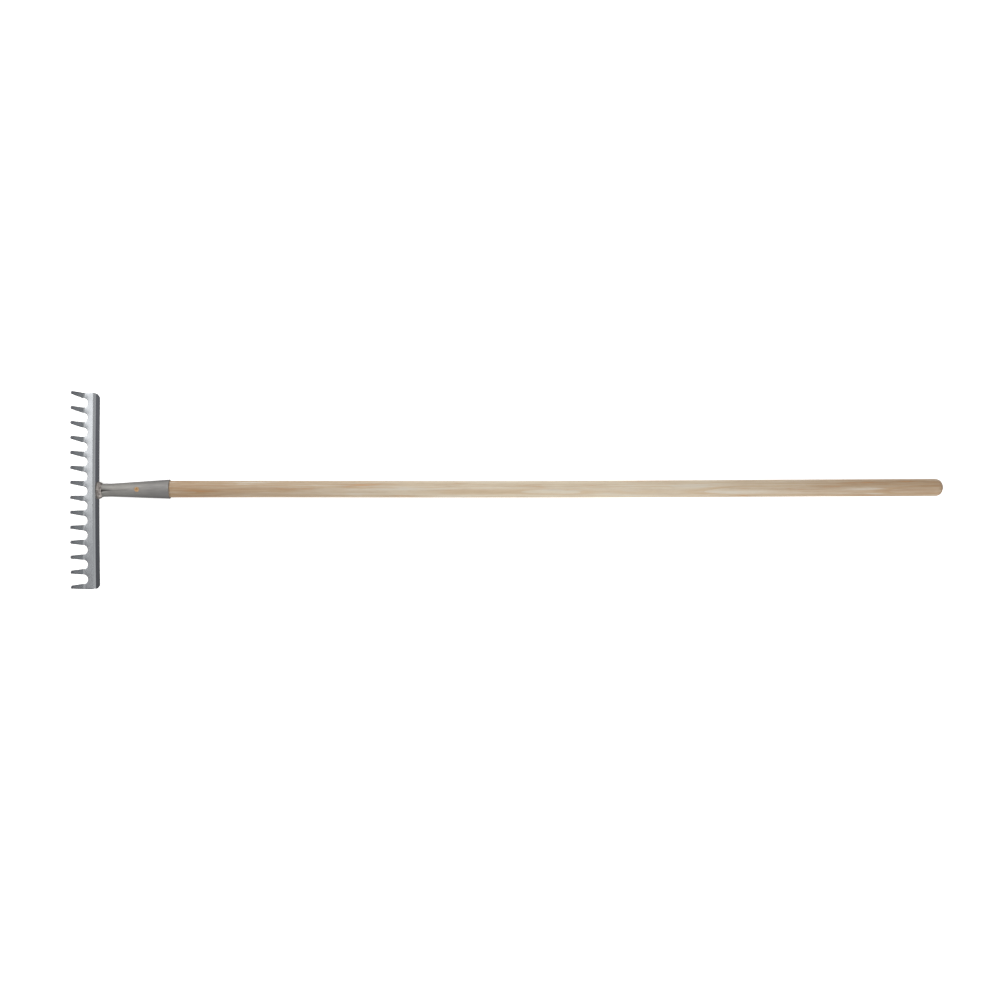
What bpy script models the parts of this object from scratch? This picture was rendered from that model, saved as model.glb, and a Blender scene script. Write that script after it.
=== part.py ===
"""Garden rake: a pressed steel head with fourteen tines, a rolled socket and a wooden handle.

Units are metres, +Z up. The rake lies on its back, with the handle along +X and the tines standing
up along +Z. While it is built, X is measured from the rear face of the head's flange at the height
of the handle's axis, and Z from the top of the head's plate. At the end everything is carried by one
empty to its own frame: the origin is the middle of the rake's box, on its underside.
"""

import math

import bmesh
import bpy
import numpy as np
from mathutils import Matrix, Vector

# Clearances
SEAT_GAP = 0.0003
HANDLE_FIT = 0.00025
SHANK_FIT = 0.0003

# Pressed head: one sheet, cut flat and then folded at the tines and at the flange
HEAD_WIDTH = 0.351
SHEET = 0.0025
TINE_COUNT = 14
TINE_HEIGHT = 0.060
TINE_LEAN = math.radians(5.5)
TINE_ROOT_WIDTH = 0.0102
TINE_TIP_WIDTH = 0.0055
TIP_FLAT = 0.0004
TINE_BEND_INSIDE = 0.008
GULLET_SETBACK = 0.0006
GULLET_FLAT = 0.0010
PLATE_FLAT = 0.0086
FLANGE_ANGLE = math.radians(82.0)
FLANGE_BEND_INSIDE = 0.0035
FLANGE_DEPTH = 0.0233
FLANGE_END_INSET = 0.001
CORNER_CUT_LONG = 0.011
CORNER_CUT_INSET = 0.0055
CORNER_ROUND = 0.002
CUT_EDGE = 0.0004

# Socket: a cone rolled from sheet, with its seam pressed in towards the head
AXIS_DROP = 0.0155
SOCKET_LENGTH = 0.129
SOCKET_WALL = 0.002
MOUTH_EDGE = 0.0004
MOUTH_WIDTH = 0.0345
NECK_WIDTH = 0.0234
NECK_HEIGHT = 0.0125
NECK_AT = 0.024
WELD_END_WIDTH = 0.0242
SEAM_DEPTH = 0.0026
SEAM_HALF_WIDTH = 0.0032

# Fillet weld between the socket and the flange, open below, where no torch reaches
WELD_LEG = 0.0036
WELD_REACH = 0.0078
WELD_CROWN = 0.68
WELD_TOE = 0.0005
WELD_OPEN_ANGLE = math.radians(76.0)

# Handle
HANDLE_LENGTH = 1.475
HANDLE_INSERT = 0.090
HANDLE_WAIST_WIDTH = 0.0293
HANDLE_GRIP_WIDTH = 0.0306
HANDLE_GRIP_LENGTH = 0.235
HANDLE_TAPER_LENGTH = 0.525
HANDLE_DOME = 0.0125
HANDLE_TIP_CHAMFER = 0.002
HANDLE_TIP_CLEAR = 0.001

# Handle screw, sunk in a dished hole of the socket
SCREW_FROM_MOUTH = 0.057
SCREW_HEAD_WIDTH = 0.0086
SCREW_HEAD_CONE = 0.0026
SCREW_HEAD_RIM = 0.0003
SCREW_RECESS = 0.0004
SCREW_SHANK_WIDTH = 0.0045
SCREW_LENGTH = 0.0175
SCREW_POINT = 0.004
DISH_LEAD = 0.002

# Facets
BEND_STEPS = 7
GULLET_STEPS = 5
TIP_STEPS = 3
ROUND_STEPS = 44
PRESSED_RINGS = 13
CONE_RINGS = 6
HANDLE_RINGS = 18
DOME_STEPS = 6
SCREW_STEPS = 24

# Points nearer than SAME_POINT are one point, a point within SAME_PLACE of a cut lies on it, faces
# that turn less than SAME_FACE are one face, and a normal is read across SMALL_TURN
SAME_POINT = 1e-5
SAME_PLACE = 1e-6
SAME_FACE = math.radians(0.4)
SMALL_TURN = math.radians(0.5)


def clear_scene():
    """Remove the objects that the file opened with."""
    for obj in list(bpy.data.objects):
        bpy.data.objects.remove(obj, do_unlink=True)


def make_collection(name):
    """Make a collection in the scene."""
    collection = bpy.data.collections.new(name)
    bpy.context.scene.collection.children.link(collection)
    return collection


def make_material(name, colour, roughness, metallic):
    """Make a Principled material from a linear colour."""
    material = bpy.data.materials.new(name)
    material.use_nodes = True
    shader = material.node_tree.nodes["Principled BSDF"]
    shader.inputs["Base Color"].default_value = (*colour, 1.0)
    shader.inputs["Roughness"].default_value = roughness
    shader.inputs["Metallic"].default_value = metallic
    return material


def add_object(name, data, collection, carrier, material=None):
    """Put mesh or curve data in the scene, carried by the rake's empty."""
    obj = bpy.data.objects.new(name, data)
    obj.parent = carrier
    collection.objects.link(obj)
    if material is not None:
        data.materials.append(material)
    return obj


def smooth(obj, angle):
    """Shade a mesh smooth, with its sharp edges kept sharp."""
    obj.data.shade_smooth()
    obj.data.set_sharp_from_angle(angle=angle)


def cut(obj, cutter):
    """Cut one object from another."""
    modifier = obj.modifiers.new(cutter.name, "BOOLEAN")
    modifier.operation = "DIFFERENCE"
    modifier.solver = "EXACT"
    modifier.object = cutter


def rounded_outline(corners):
    """Turn (x, y, radius, steps) corners into points, with an arc at each corner that has a radius."""
    points = []
    for index, (x, y, radius, steps) in enumerate(corners):
        corner = Vector((x, y))
        if radius == 0.0:
            points.append(corner)
            continue
        before = Vector(corners[index - 1][:2]) - corner
        after = Vector(corners[(index + 1) % len(corners)][:2]) - corner
        before.normalize()
        after.normalize()
        half = before.angle(after) / 2.0
        start = corner + before * (radius / math.tan(half))
        centre = corner + (before + after).normalized() * (radius / math.sin(half))
        arm = start - centre
        turn = math.pi - 2.0 * half
        side = 1.0 if before.x * after.y - before.y * after.x < 0.0 else -1.0
        for step in range(steps + 1):
            points.append(centre + Matrix.Rotation(side * turn * step / steps, 2) @ arm)
    return points


def turned(name, profile, steps, collection, carrier, material):
    """Turn a profile of (radius, height) points, from the top down, about the Z axis."""
    mesh = bpy.data.meshes.new(name)
    points = [(radius, 0.0, height) for radius, height in profile]
    edges = [(index, index + 1) for index in range(len(points) - 1)]
    mesh.from_pydata(points, edges, [])
    obj = add_object(name, mesh, collection, carrier, material)
    screw = obj.modifiers.new("Turn", "SCREW")
    screw.axis = "Z"
    screw.steps = steps
    screw.render_steps = steps
    screw.use_merge_vertices = True
    screw.merge_threshold = SAME_POINT
    screw.use_smooth_shade = True
    return obj


def tine_centres():
    """Return where each tine stands across the head, with the outer two flush with its ends."""
    half = (HEAD_WIDTH - TINE_ROOT_WIDTH) / 2.0
    return [-half + 2.0 * half * index / (TINE_COUNT - 1) for index in range(TINE_COUNT)]


class Fold:
    """The head's section: where a point of the flat sheet goes when the sheet is folded.

    Along the flat sheet, 0 is where the tine bend starts, tines are positive and the flange is
    negative. Each bend is a run of short straight steps.
    """

    def __init__(self):
        half = SHEET / 2.0
        tine_turn = math.pi / 2.0 - TINE_LEAN
        tine_mid = TINE_BEND_INSIDE + half
        flange_mid = FLANGE_BEND_INSIDE + half
        flange_outside = FLANGE_BEND_INSIDE + SHEET
        self.tine_bend = tine_mid * tine_turn
        self.flange_bend = flange_mid * FLANGE_ANGLE
        bend_top = TINE_BEND_INSIDE - tine_mid * math.cos(tine_turn)
        self.tine_end = self.tine_bend + (TINE_HEIGHT - bend_top) / math.sin(tine_turn)
        drop = flange_outside * (1.0 - math.cos(FLANGE_ANGLE))
        flange_flat = (FLANGE_DEPTH - drop) / math.sin(FLANGE_ANGLE)
        self.flange_end = -(PLATE_FLAT + self.flange_bend + flange_flat)
        face_run = flange_outside * math.sin(FLANGE_ANGLE)
        face_run += (AXIS_DROP - drop) / math.tan(FLANGE_ANGLE)
        self.flange_bend_x = -face_run
        self.tine_bend_x = self.flange_bend_x - PLATE_FLAT
        tine_steps = [self.tine_bend * step / BEND_STEPS for step in range(BEND_STEPS + 1)]
        flange_steps = [
            -PLATE_FLAT - self.flange_bend * step / BEND_STEPS for step in range(BEND_STEPS + 1)
        ]
        self.stations = [self.flange_end, *reversed(flange_steps), *tine_steps, self.tine_end]

    def section(self, along, height):
        """Return the folded (x, z) of one station, for a height above the sheet's middle."""
        half = SHEET / 2.0
        if along >= 0.0:
            turn = min(along, self.tine_bend) / (TINE_BEND_INSIDE + half)
            arm = TINE_BEND_INSIDE + half - height
            straight = max(along - self.tine_bend, 0.0)
            x = self.tine_bend_x - arm * math.sin(turn) - straight * math.cos(turn)
            z = TINE_BEND_INSIDE - arm * math.cos(turn) + straight * math.sin(turn)
            return x, z
        past = max(-along - PLATE_FLAT, 0.0)
        turn = min(past, self.flange_bend) / (FLANGE_BEND_INSIDE + half)
        arm = FLANGE_BEND_INSIDE + half + height
        straight = max(past - self.flange_bend, 0.0)
        x = self.tine_bend_x + min(-along, PLATE_FLAT) + arm * math.sin(turn) + straight * math.cos(turn)
        z = -SHEET - FLANGE_BEND_INSIDE + arm * math.cos(turn) - straight * math.sin(turn)
        return x, z

    def place(self, point):
        """Return where a point of the flat sheet, (along, across, height), goes in space."""
        sections = [self.section(station, point.z) for station in self.stations]
        x = np.interp(point.x, self.stations, [section[0] for section in sections])
        z = np.interp(point.x, self.stations, [section[1] for section in sections])
        return Vector((float(x), point.y, float(z)))


def head_blank(fold):
    """Return the outline of the flat sheet: tines and gullets, then the flange with cut corners."""
    root = TINE_ROOT_WIDTH / 2.0
    tip = TINE_TIP_WIDTH / 2.0
    gullet = -GULLET_SETBACK
    centres = tine_centres()
    gullet_round = (centres[1] - centres[0] - TINE_ROOT_WIDTH - GULLET_FLAT) / 2.0
    tip_round = (TINE_TIP_WIDTH - TIP_FLAT) / 2.0
    corners = []
    for index, centre in enumerate(centres):
        round_left = gullet_round if index > 0 else 0.0
        round_right = gullet_round if index < TINE_COUNT - 1 else 0.0
        corners.append((gullet, centre - root, round_left, GULLET_STEPS))
        corners.append((fold.tine_end, centre - tip, tip_round, TIP_STEPS))
        corners.append((fold.tine_end, centre + tip, tip_round, TIP_STEPS))
        corners.append((gullet, centre + root, round_right, GULLET_STEPS))
    plate_end = -PLATE_FLAT
    half = HEAD_WIDTH / 2.0
    side = half - FLANGE_END_INSET
    bend_end = plate_end - fold.flange_bend
    cut_from = fold.flange_end + CORNER_CUT_LONG
    corners.append((plate_end, half, 0.0, 0))
    corners.append((bend_end, side, 0.0, 0))
    corners.append((cut_from, side, CORNER_ROUND, TIP_STEPS))
    corners.append((fold.flange_end, side - CORNER_CUT_INSET, CORNER_ROUND, TIP_STEPS))
    corners.append((fold.flange_end, CORNER_CUT_INSET - side, CORNER_ROUND, TIP_STEPS))
    corners.append((cut_from, -side, CORNER_ROUND, TIP_STEPS))
    corners.append((bend_end, -side, 0.0, 0))
    corners.append((plate_end, -half, 0.0, 0))
    return rounded_outline(corners)


def flat_sheet(outline):
    """Return the blank as a closed mesh: a filled 2D curve with its thickness and broken edges."""
    curve = bpy.data.curves.new("blank", "CURVE")
    curve.dimensions = "2D"
    curve.fill_mode = "BOTH"
    curve.extrude = SHEET / 2.0 - CUT_EDGE
    curve.bevel_depth = CUT_EDGE
    curve.bevel_resolution = 0
    curve.offset = -CUT_EDGE
    spline = curve.splines.new("POLY")
    spline.points.add(len(outline) - 1)
    for point, place in zip(spline.points, outline):
        point.co = (place.x, place.y, 0.0, 1.0)
    spline.use_cyclic_u = True
    holder = bpy.data.objects.new("blank", curve)
    bpy.context.scene.collection.objects.link(holder)
    graph = bpy.context.evaluated_depsgraph_get()
    mesh = bpy.data.meshes.new_from_object(holder.evaluated_get(graph))
    bpy.data.objects.remove(holder, do_unlink=True)
    return mesh


def make_head(collection, carrier, material):
    """Cut the blank, mark the bend lines on it and fold it."""
    fold = Fold()
    mesh = flat_sheet(head_blank(fold))
    mesh.name = "rake_head"
    sheet = bmesh.new()
    sheet.from_mesh(mesh)
    bmesh.ops.remove_doubles(sheet, verts=sheet.verts, dist=SAME_POINT)
    for station in fold.stations[1:-1]:
        everything = [*sheet.verts, *sheet.edges, *sheet.faces]
        bmesh.ops.bisect_plane(
            sheet, geom=everything, dist=SAME_PLACE, plane_co=(station, 0.0, 0.0), plane_no=(1.0, 0.0, 0.0)
        )
    for vertex in sheet.verts:
        vertex.co = fold.place(vertex.co)
    bmesh.ops.dissolve_limit(
        sheet, angle_limit=SAME_FACE, verts=sheet.verts, edges=sheet.edges
    )
    bmesh.ops.recalc_face_normals(sheet, faces=sheet.faces)
    sheet.to_mesh(mesh)
    sheet.free()
    mesh.materials.clear()
    head = add_object("rake_head", mesh, collection, carrier, material)
    smooth(head, math.radians(25.0))
    return head


def blend(value, low, high):
    """Return 0 below low, 1 above high and a smooth step between."""
    share = min(max((value - low) / (high - low), 0.0), 1.0)
    return share * share * (3.0 - 2.0 * share)


def socket_half_width(along):
    """Return the socket's outer half width at a distance from the weld."""
    cone = NECK_WIDTH + (MOUTH_WIDTH - NECK_WIDTH) * max(along - NECK_AT, 0.0) / (SOCKET_LENGTH - NECK_AT)
    flare = (WELD_END_WIDTH - NECK_WIDTH) * (1.0 - blend(along, 0.0, NECK_AT))
    return (cone + flare) / 2.0


def handle_tip():
    """Return how far the handle's tip is from the weld."""
    return SOCKET_LENGTH - HANDLE_INSERT


def pressed_end():
    """Return where the socket gets round: it is pressed only where it holds no handle."""
    return handle_tip() - HANDLE_TIP_CLEAR


def socket_half_height(along):
    """Return the socket's outer half height: round at the mouth, pressed to an oval at the weld."""
    squash = 1.0 - blend(along, 0.0, pressed_end())
    return socket_half_width(along) * (1.0 - squash) + NECK_HEIGHT / 2.0 * squash


def socket_stations():
    """Return where the socket's rings stand: along its pressed stretch, then along its round one."""
    pressed = pressed_end()
    cone = SOCKET_LENGTH - pressed
    stations = [pressed * step / PRESSED_RINGS for step in range(PRESSED_RINGS)]
    stations += [pressed + cone * step / CONE_RINGS for step in range(CONE_RINGS + 1)]
    return stations


def handle_radius_in_socket(along):
    """Return the radius that the handle is cut to inside the socket, to fill it with a small play."""
    return socket_half_width(along) - SOCKET_WALL - HANDLE_FIT


def socket_point(along, angle):
    """Return a point of the socket's outside: the oval, less the pressed seam along its top."""
    y = socket_half_width(along) * math.cos(angle)
    z = socket_half_height(along) * math.sin(angle)
    if z > 0.0:
        fade = 1.0 - blend(along, 0.0, pressed_end())
        z -= SEAM_DEPTH * fade * math.exp(-2.0 * (y / SEAM_HALF_WIDTH) ** 2)
    return y, z


def socket_normal(along, angle):
    """Return the direction straight out of the socket's side, read from two points close by."""
    ahead = Vector(socket_point(along, angle + SMALL_TURN))
    behind = Vector(socket_point(along, angle - SMALL_TURN))
    tangent = ahead - behind
    return Vector((tangent.y, -tangent.x)).normalized()


def socket_ring(along):
    """Return one ring of the socket's outside. Near the weld, rings lean to lie on the flange."""
    lean = (1.0 - blend(along, 0.0, NECK_AT)) / math.tan(FLANGE_ANGLE)
    ring = []
    for step in range(ROUND_STEPS):
        y, z = socket_point(along, math.pi / 2.0 + 2.0 * math.pi * step / ROUND_STEPS)
        ring.append((along + SEAT_GAP - z * lean, y, z))
    return ring


def screw_axis():
    """Return how far the screw stands from the weld."""
    return SOCKET_LENGTH - SCREW_FROM_MOUTH


def socket_top_at_screw():
    """Return how high the socket's outside is above the handle's axis at the screw."""
    return socket_half_height(screw_axis())


def make_socket(collection, cutters, carrier, material):
    """Loft the rings, give the sheet its wall and cut the countersunk screw hole."""
    shell = bmesh.new()
    rows = []
    for along in socket_stations():
        rows.append([shell.verts.new(point) for point in socket_ring(along)])
    for near, far in zip(rows[:-1], rows[1:]):
        for index in range(ROUND_STEPS):
            after = (index + 1) % ROUND_STEPS
            shell.faces.new((near[index], near[after], far[after], far[index]))
    bmesh.ops.recalc_face_normals(shell, faces=shell.faces)
    mesh = bpy.data.meshes.new("socket")
    shell.to_mesh(mesh)
    shell.free()
    socket = add_object("socket", mesh, collection, carrier, material)
    socket.location = (0.0, 0.0, -AXIS_DROP)
    smooth(socket, math.radians(35.0))
    wall = socket.modifiers.new("Wall", "SOLIDIFY")
    wall.thickness = SOCKET_WALL
    wall.offset = -1.0
    wall.use_even_offset = True
    rim = socket.modifiers.new("Rim", "BEVEL")
    rim.width = MOUTH_EDGE
    rim.segments = 1
    rim.limit_method = "ANGLE"
    rim.angle_limit = math.radians(60.0)
    through = -2.0 * SOCKET_WALL - SCREW_POINT
    cut(socket, screw_hole("screw_dish", SEAT_GAP, through, cutters, carrier))
    return socket


def screw_hole(name, fit, bottom, cutters, carrier):
    """Make the cutter of a countersunk screw hole, from above the socket down to its pointed bottom."""
    head = SCREW_HEAD_WIDTH / 2.0 + fit
    shank = SCREW_SHANK_WIDTH / 2.0 + fit
    profile = [
        (0.0, DISH_LEAD),
        (head, DISH_LEAD),
        (head, -SCREW_RECESS - SCREW_HEAD_RIM),
        (shank, -SCREW_RECESS - SCREW_HEAD_CONE),
        (shank, bottom + SCREW_POINT),
        (0.0, bottom),
    ]
    cutter = turned(name, profile, SCREW_STEPS, cutters, carrier, None)
    cutter.location = (screw_axis(), 0.0, socket_top_at_screw() - AXIS_DROP)
    cutter.hide_render = True
    cutter.display_type = "WIRE"
    return cutter


def weld_angles():
    """Return where the weld's sections stand: at its two ends, and at the socket's edges between them."""
    facet = 2.0 * math.pi / ROUND_STEPS
    reach = math.pi - WELD_OPEN_ANGLE / 2.0
    inside = math.ceil(reach / facet) - 1
    turns = [-reach, *[facet * step for step in range(-inside, inside + 1)], reach]
    return [math.pi / 2.0 + turn for turn in turns]


def weld_section(angle):
    """Return the fillet's section at one place round the neck: its root, its two toes and its crown."""
    crown = (WELD_LEG * WELD_CROWN, WELD_REACH * WELD_CROWN)
    section = []
    for out, up in [(WELD_LEG, 0.0), (WELD_LEG, WELD_TOE), crown, (WELD_TOE, WELD_REACH)]:
        wide = socket_half_width(up)
        high = socket_half_height(up)
        outward = Vector((math.cos(angle) / wide, math.sin(angle) / high)).normalized()
        y = wide * math.cos(angle) + outward.x * out
        z = high * math.sin(angle) + outward.y * out
        section.append((y, z, up + SEAT_GAP))
    for up in (WELD_REACH, 0.0):
        y, z = Vector(socket_point(up, angle)) + socket_normal(up, angle) * SEAT_GAP
        section.append((y, z, up + SEAT_GAP))
    return [(up - z / math.tan(FLANGE_ANGLE), y, z) for y, z, up in section]


def make_weld(collection, carrier, material):
    """Run the fillet round the neck, from one lower side over the top to the other."""
    bead = bmesh.new()
    rows = []
    for angle in weld_angles():
        rows.append([bead.verts.new(point) for point in weld_section(angle)])
    for near, far in zip(rows[:-1], rows[1:]):
        for index in range(len(near)):
            after = (index + 1) % len(near)
            bead.faces.new((near[index], near[after], far[after], far[index]))
    bead.faces.new(rows[0])
    bead.faces.new(rows[-1])
    bmesh.ops.recalc_face_normals(bead, faces=bead.faces)
    mesh = bpy.data.meshes.new("weld_bead")
    bead.to_mesh(mesh)
    bead.free()
    weld = add_object("weld_bead", mesh, collection, carrier, material)
    weld.location = (0.0, 0.0, -AXIS_DROP)
    smooth(weld, math.radians(50.0))
    return weld


def handle_profile():
    """Return (radius, distance from the weld) of the handle, from the grip's end to the tip."""
    mouth = SOCKET_LENGTH
    tip = handle_tip()
    end = tip + HANDLE_LENGTH
    mouth_radius = handle_radius_in_socket(mouth)
    waist = HANDLE_WAIST_WIDTH / 2.0
    grip = HANDLE_GRIP_WIDTH / 2.0
    grip_at = end - HANDLE_GRIP_LENGTH
    waist_at = grip_at - HANDLE_TAPER_LENGTH
    dome_at = end - HANDLE_DOME
    profile = []
    for step in range(DOME_STEPS + 1):
        angle = math.pi / 2.0 * step / DOME_STEPS
        profile.append((grip * math.sin(angle), dome_at + HANDLE_DOME * math.cos(angle)))
    profile.append((grip, grip_at))
    for index in range(1, HANDLE_RINGS):
        along = grip_at + (mouth - grip_at) * index / HANDLE_RINGS
        if along > waist_at:
            radius = waist + (grip - waist) * blend(along, waist_at, grip_at)
        else:
            radius = mouth_radius + (waist - mouth_radius) * blend(along, mouth, waist_at)
        profile.append((radius, along))
    chamfer_at = tip + HANDLE_TIP_CHAMFER
    inside = [along for along in socket_stations() if along > chamfer_at]
    for along in [*reversed(inside), chamfer_at]:
        profile.append((handle_radius_in_socket(along), along))
    profile.append((handle_radius_in_socket(tip) - HANDLE_TIP_CHAMFER, tip))
    profile.append((0.0, tip))
    return profile


def make_handle(collection, cutters, carrier, material):
    """Turn the handle, lay it along +X and drill it for the screw."""
    handle = turned("handle", handle_profile(), ROUND_STEPS, collection, carrier, material)
    handle.location = (0.0, 0.0, -AXIS_DROP)
    handle.rotation_euler = (0.0, math.pi / 2.0, 0.0)
    bottom = -SCREW_RECESS - SCREW_LENGTH - SHANK_FIT
    pilot = screw_hole("screw_pilot", SHANK_FIT, bottom, cutters, carrier)
    cut(handle, pilot)
    return handle


def make_screw(collection, carrier, material):
    """Turn the countersunk screw that holds the handle in the socket."""
    head = SCREW_HEAD_WIDTH / 2.0
    shank = SCREW_SHANK_WIDTH / 2.0
    profile = [
        (0.0, 0.0),
        (head - SCREW_HEAD_RIM, 0.0),
        (head, -SCREW_HEAD_RIM),
        (shank, -SCREW_HEAD_CONE),
        (shank, -SCREW_LENGTH + SCREW_POINT),
        (0.0, -SCREW_LENGTH),
    ]
    screw = turned("handle_screw", profile, SCREW_STEPS, collection, carrier, material)
    screw.location = (screw_axis(), 0.0, socket_top_at_screw() - SCREW_RECESS - AXIS_DROP)
    return screw


def set_origin(carrier, parts):
    """Move the empty so that the origin is the middle of the rake's box, on its underside."""
    bpy.context.view_layer.update()
    graph = bpy.context.evaluated_depsgraph_get()
    points = []
    for part in parts:
        evaluated = part.evaluated_get(graph)
        shape = evaluated.to_mesh()
        points += [evaluated.matrix_world @ vertex.co for vertex in shape.vertices]
        evaluated.to_mesh_clear()
    low_x = min(point.x for point in points)
    high_x = max(point.x for point in points)
    low_z = min(point.z for point in points)
    carrier.location = (-(low_x + high_x) / 2.0, 0.0, -low_z)


def main():
    """Build the rake."""
    clear_scene()
    parts = make_collection("garden_rake")
    cutters = make_collection("cutters")
    carrier = bpy.data.objects.new("rake", None)
    parts.objects.link(carrier)
    zinc = make_material("zinc_plated_steel", (0.50, 0.52, 0.53), 0.35, 1.0)
    rolled = make_material("rolled_steel", (0.27, 0.26, 0.24), 0.50, 1.0)
    weld = make_material("weld_metal", (0.24, 0.22, 0.21), 0.60, 1.0)
    ash = make_material("ash_wood", (0.55, 0.43, 0.29), 0.65, 0.0)
    brass = make_material("yellow_zinc", (0.55, 0.36, 0.16), 0.40, 1.0)
    built = [
        make_head(parts, carrier, zinc),
        make_socket(parts, cutters, carrier, rolled),
        make_weld(parts, carrier, weld),
        make_handle(parts, cutters, carrier, ash),
        make_screw(parts, carrier, brass),
    ]
    set_origin(carrier, built)


main()
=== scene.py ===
"""Looks of a garden rake: a zinc plated pressed head, a rolled socket, a weld and an ash handle.

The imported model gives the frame, and every piece here takes its place from it. Units are metres. +X
runs along the handle away from the head, +Z is the way the tines point and +Y runs across the head.
Each piece is a surface worked out as whole arrays, and each has the finish of its real material.
"""

import logging
import math
from dataclasses import dataclass, field
from enum import Enum
from typing import ClassVar

import bpy
import numpy as np
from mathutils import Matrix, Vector


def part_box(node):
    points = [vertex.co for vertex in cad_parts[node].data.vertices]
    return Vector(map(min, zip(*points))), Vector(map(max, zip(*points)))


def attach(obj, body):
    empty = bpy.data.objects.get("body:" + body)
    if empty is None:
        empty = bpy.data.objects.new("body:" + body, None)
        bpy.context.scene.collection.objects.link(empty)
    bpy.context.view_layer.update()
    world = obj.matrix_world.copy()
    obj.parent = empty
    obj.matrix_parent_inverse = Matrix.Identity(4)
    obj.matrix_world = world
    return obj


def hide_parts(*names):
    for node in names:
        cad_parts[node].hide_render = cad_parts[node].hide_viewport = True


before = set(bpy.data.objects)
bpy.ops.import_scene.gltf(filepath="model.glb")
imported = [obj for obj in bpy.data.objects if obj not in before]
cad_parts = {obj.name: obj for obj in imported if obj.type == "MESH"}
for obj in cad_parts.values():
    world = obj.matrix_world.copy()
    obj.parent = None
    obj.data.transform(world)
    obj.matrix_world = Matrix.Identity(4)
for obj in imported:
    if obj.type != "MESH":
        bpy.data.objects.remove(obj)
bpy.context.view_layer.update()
BODY = "root"
CREASE = 40.0
QUARTER = math.pi / 2.0
LOG = logging.getLogger("garden_rake")

Array = np.ndarray
Colour = tuple[float, float, float, float]
Tree = bpy.types.NodeTree
Socket = bpy.types.NodeSocket
Inputs = dict[str | int, object]
Coats = list[tuple[object, str]]
Triple = tuple[float, float, float]
Steps = tuple[tuple[str, float, float], ...]


def linear(hex_code: str) -> Colour:
    """Turn an sRGB colour into linear light.

    Each channel c in 0 to 1 becomes c / 12.92 below 0.04045 and ((c + 0.055) / 1.055) ** 2.4 above.

    Args:
        hex_code: the colour as six hex digits.

    Returns:
        Red, green and blue in linear light, and an alpha of 1.
    """
    channels = [int(hex_code[start : start + 2], 16) / 255.0 for start in (0, 2, 4)]
    lit = [c / 12.92 if c <= 0.04045 else ((c + 0.055) / 1.055) ** 2.4 for c in channels]
    return lit[0], lit[1], lit[2], 1.0


def smoothstep(value: Array, low: float, high: float) -> Array:
    """Return 0 below low, 1 above high, and 3t^2 - 2t^3 between them."""
    share = np.clip((np.asarray(value, float) - low) / (high - low), 0.0, 1.0)
    return share * share * (3.0 - 2.0 * share)


def node(tree: Tree, kind: str, links: Inputs | None = None, **settings: object) -> bpy.types.Node:
    """Add a node with its settings and links.

    Args:
        tree: the node tree that gets the node.
        kind: the node's type, such as Math for a ShaderNodeMath.
        links: what each input holds, by name or number. A socket is linked, a node is linked by its
            first output in use, and anything else is the input's plain value.
        settings: the node's own properties.

    Returns:
        The new node.
    """
    made = tree.nodes.new("ShaderNode" + kind)
    for name, value in settings.items():
        setattr(made, name, value)
    for key, value in (links or {}).items():
        if isinstance(value, bpy.types.Node):
            value = next(output for output in value.outputs if output.enabled)
        if isinstance(value, Socket):
            tree.links.new(value, made.inputs[key])
        else:
            made.inputs[key].default_value = value
    return made


def full_turn(steps: int) -> Array:
    """Return the angles that divide a full turn into equal steps."""
    return 2.0 * math.pi * np.arange(steps) / steps


def quads_of(numbers: Array) -> Array:
    """Return the quads of a grid of point numbers.

    Quad (r, c) joins the points (r, c), (r, c + 1), (r + 1, c + 1) and (r + 1, c).

    Args:
        numbers: the numbers of the grid's points, row by row.

    Returns:
        An array of quads, one row of four point numbers each.
    """
    corners = [numbers[:-1, :-1], numbers[:-1, 1:], numbers[1:, 1:], numbers[1:, :-1]]
    return np.stack(corners, axis=-1).reshape(-1, 4)


def ring_numbers(rows: int, around: int) -> Array:
    """Return the numbers of points stored ring by ring. Each row ends on its ring's first point."""
    numbers = np.arange(rows * around).reshape(rows, around)
    return np.hstack([numbers, numbers[:, :1]])


def capped_tube(rows: int, around: int, turned: bool = False) -> tuple[Array, Array]:
    """Return the faces of a tube of rings that is closed on one centre point at each end.

    The centres are numbered after the rings' points, the first ring's before the last ring's.

    Args:
        rows: the number of rings.
        around: the number of points in a ring.
        turned: whether the faces are turned over, as for rings that run round the other way.

    Returns:
        The quads of the tube and the triangles of its two ends.
    """
    way = -1 if turned else 1
    numbers = ring_numbers(rows, around)
    first, last = numbers[0, :-1][::-way], numbers[-1, :-1][::way]
    ends = [
        np.stack([ring, np.roll(ring, -1), np.full(around, centre)], axis=-1)
        for ring, centre in ((first, rows * around), (last, rows * around + 1))
    ]
    return quads_of(numbers)[:, ::way], np.concatenate(ends)


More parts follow.
